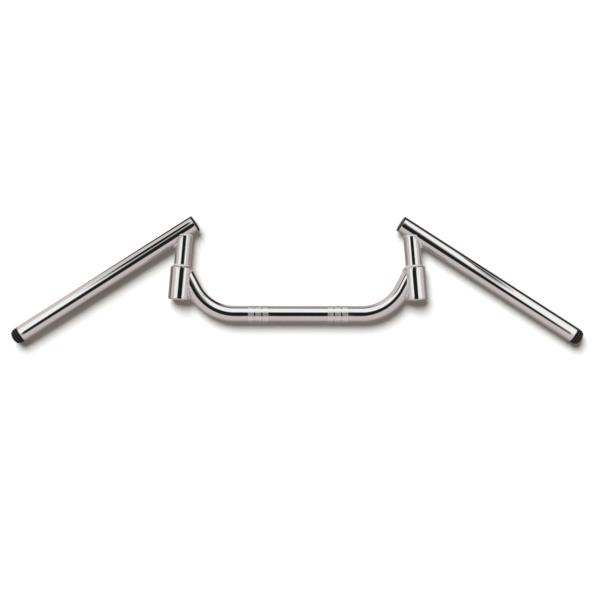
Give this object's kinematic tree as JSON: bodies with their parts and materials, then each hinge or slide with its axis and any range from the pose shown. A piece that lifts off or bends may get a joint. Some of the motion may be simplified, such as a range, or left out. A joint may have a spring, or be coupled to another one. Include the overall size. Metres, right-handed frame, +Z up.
{
  "type": "motorcycle handlebar",
  "caption": "M-shaped motorcycle handlebar: a knurled U-shaped centre tube with a swivelling, height-adjustable swept grip tube clamped in the sleeve at each end.",
  "frame": {"origin": "middle of the centre tube's straight run, on its axis, half way between the two handlebar clamps", "axes": "+X to the rider's right along the centre tube, +Y forward towards the raised grips' inner ends, +Z up out of the plane that the whole bar lies in"},
  "size_m": [0.7692, 0.1713, 0.03],
  "materials": {
    "tube_chrome": "bright chrome plate",
    "sleeve_chrome": "bright chrome plate",
    "weld_chrome": "chrome plate over a dressed weld",
    "ring_plastic": "light grey, satin",
    "plug_plastic": "black, satin",
    "cap_rubber": "black, matt",
    "plain_steel": "turned, oiled",
    "zinc_steel": "zinc plated",
    "black_steel": "black oxide"
  },
  "bodies": {
    "frame": {"centre_tube": "tube_chrome", "left_sleeve": "sleeve_chrome", "right_sleeve": "sleeve_chrome", "left_sleeve_weld": "weld_chrome", "right_sleeve_weld": "weld_chrome"},
    "left_ring": {"left_seal_ring": "ring_plastic"},
    "left_arm": {"left_stub": "tube_chrome", "left_stub_weld": "weld_chrome", "left_grip_tube": "tube_chrome", "left_inner_plug": "plug_plastic", "left_end_cap": "cap_rubber", "left_threaded_plug": "plain_steel"},
    "left_expander": {"left_expander_cone": "plain_steel", "left_washer": "zinc_steel"},
    "left_bolt": {"left_clamp_bolt": "black_steel"},
    "right_ring": {"right_seal_ring": "ring_plastic"},
    "right_arm": {"right_stub": "tube_chrome", "right_stub_weld": "weld_chrome", "right_grip_tube": "tube_chrome", "right_inner_plug": "plug_plastic", "right_end_cap": "cap_rubber", "right_threaded_plug": "plain_steel"},
    "right_expander": {"right_expander_cone": "plain_steel", "right_washer": "zinc_steel"},
    "right_bolt": {"right_clamp_bolt": "black_steel"}
  },
  "joints": [
    {"name": "left_turn", "type": "hinge", "parent": "frame", "child": "left_ring", "pos_m": [-0.16, 0.019, 0], "axis": [0.0872, 0.9962, 0], "range_deg": [0, 90]},
    {"name": "left_height", "type": "slide", "parent": "left_ring", "child": "left_arm", "axis": [0.0872, 0.9962, 0], "range_m": [-0.008, 0.008]},
    {"name": "left_cone_travel", "type": "slide", "parent": "left_arm", "child": "left_expander", "axis": [-0.0872, -0.9962, 0], "range_m": [0, 0.003]},
    {"name": "left_bolt_turn", "type": "hinge", "parent": "left_expander", "child": "left_bolt", "pos_m": [-0.16, 0.019, 0], "axis": [-0.0872, -0.9962, 0], "range_deg": [0, 864.5]},
    {"name": "right_turn", "type": "hinge", "parent": "frame", "child": "right_ring", "pos_m": [0.16, 0.019, 0], "axis": [0.0872, -0.9962, 0], "range_deg": [0, 90]},
    {"name": "right_height", "type": "slide", "parent": "right_ring", "child": "right_arm", "axis": [-0.0872, 0.9962, 0], "range_m": [-0.008, 0.008]},
    {"name": "right_cone_travel", "type": "slide", "parent": "right_arm", "child": "right_expander", "axis": [0.0872, -0.9962, 0], "range_m": [0, 0.003]},
    {"name": "right_bolt_turn", "type": "hinge", "parent": "right_expander", "child": "right_bolt", "pos_m": [0.16, 0.019, 0], "axis": [0.0872, -0.9962, 0], "range_deg": [0, 864.5]}
  ],
  "couplings": [
    {"joint": "left_bolt_turn", "follows": "left_cone_travel", "rad_per_m": 5026.5},
    {"joint": "right_bolt_turn", "follows": "right_cone_travel", "rad_per_m": 5026.5}
  ]
}
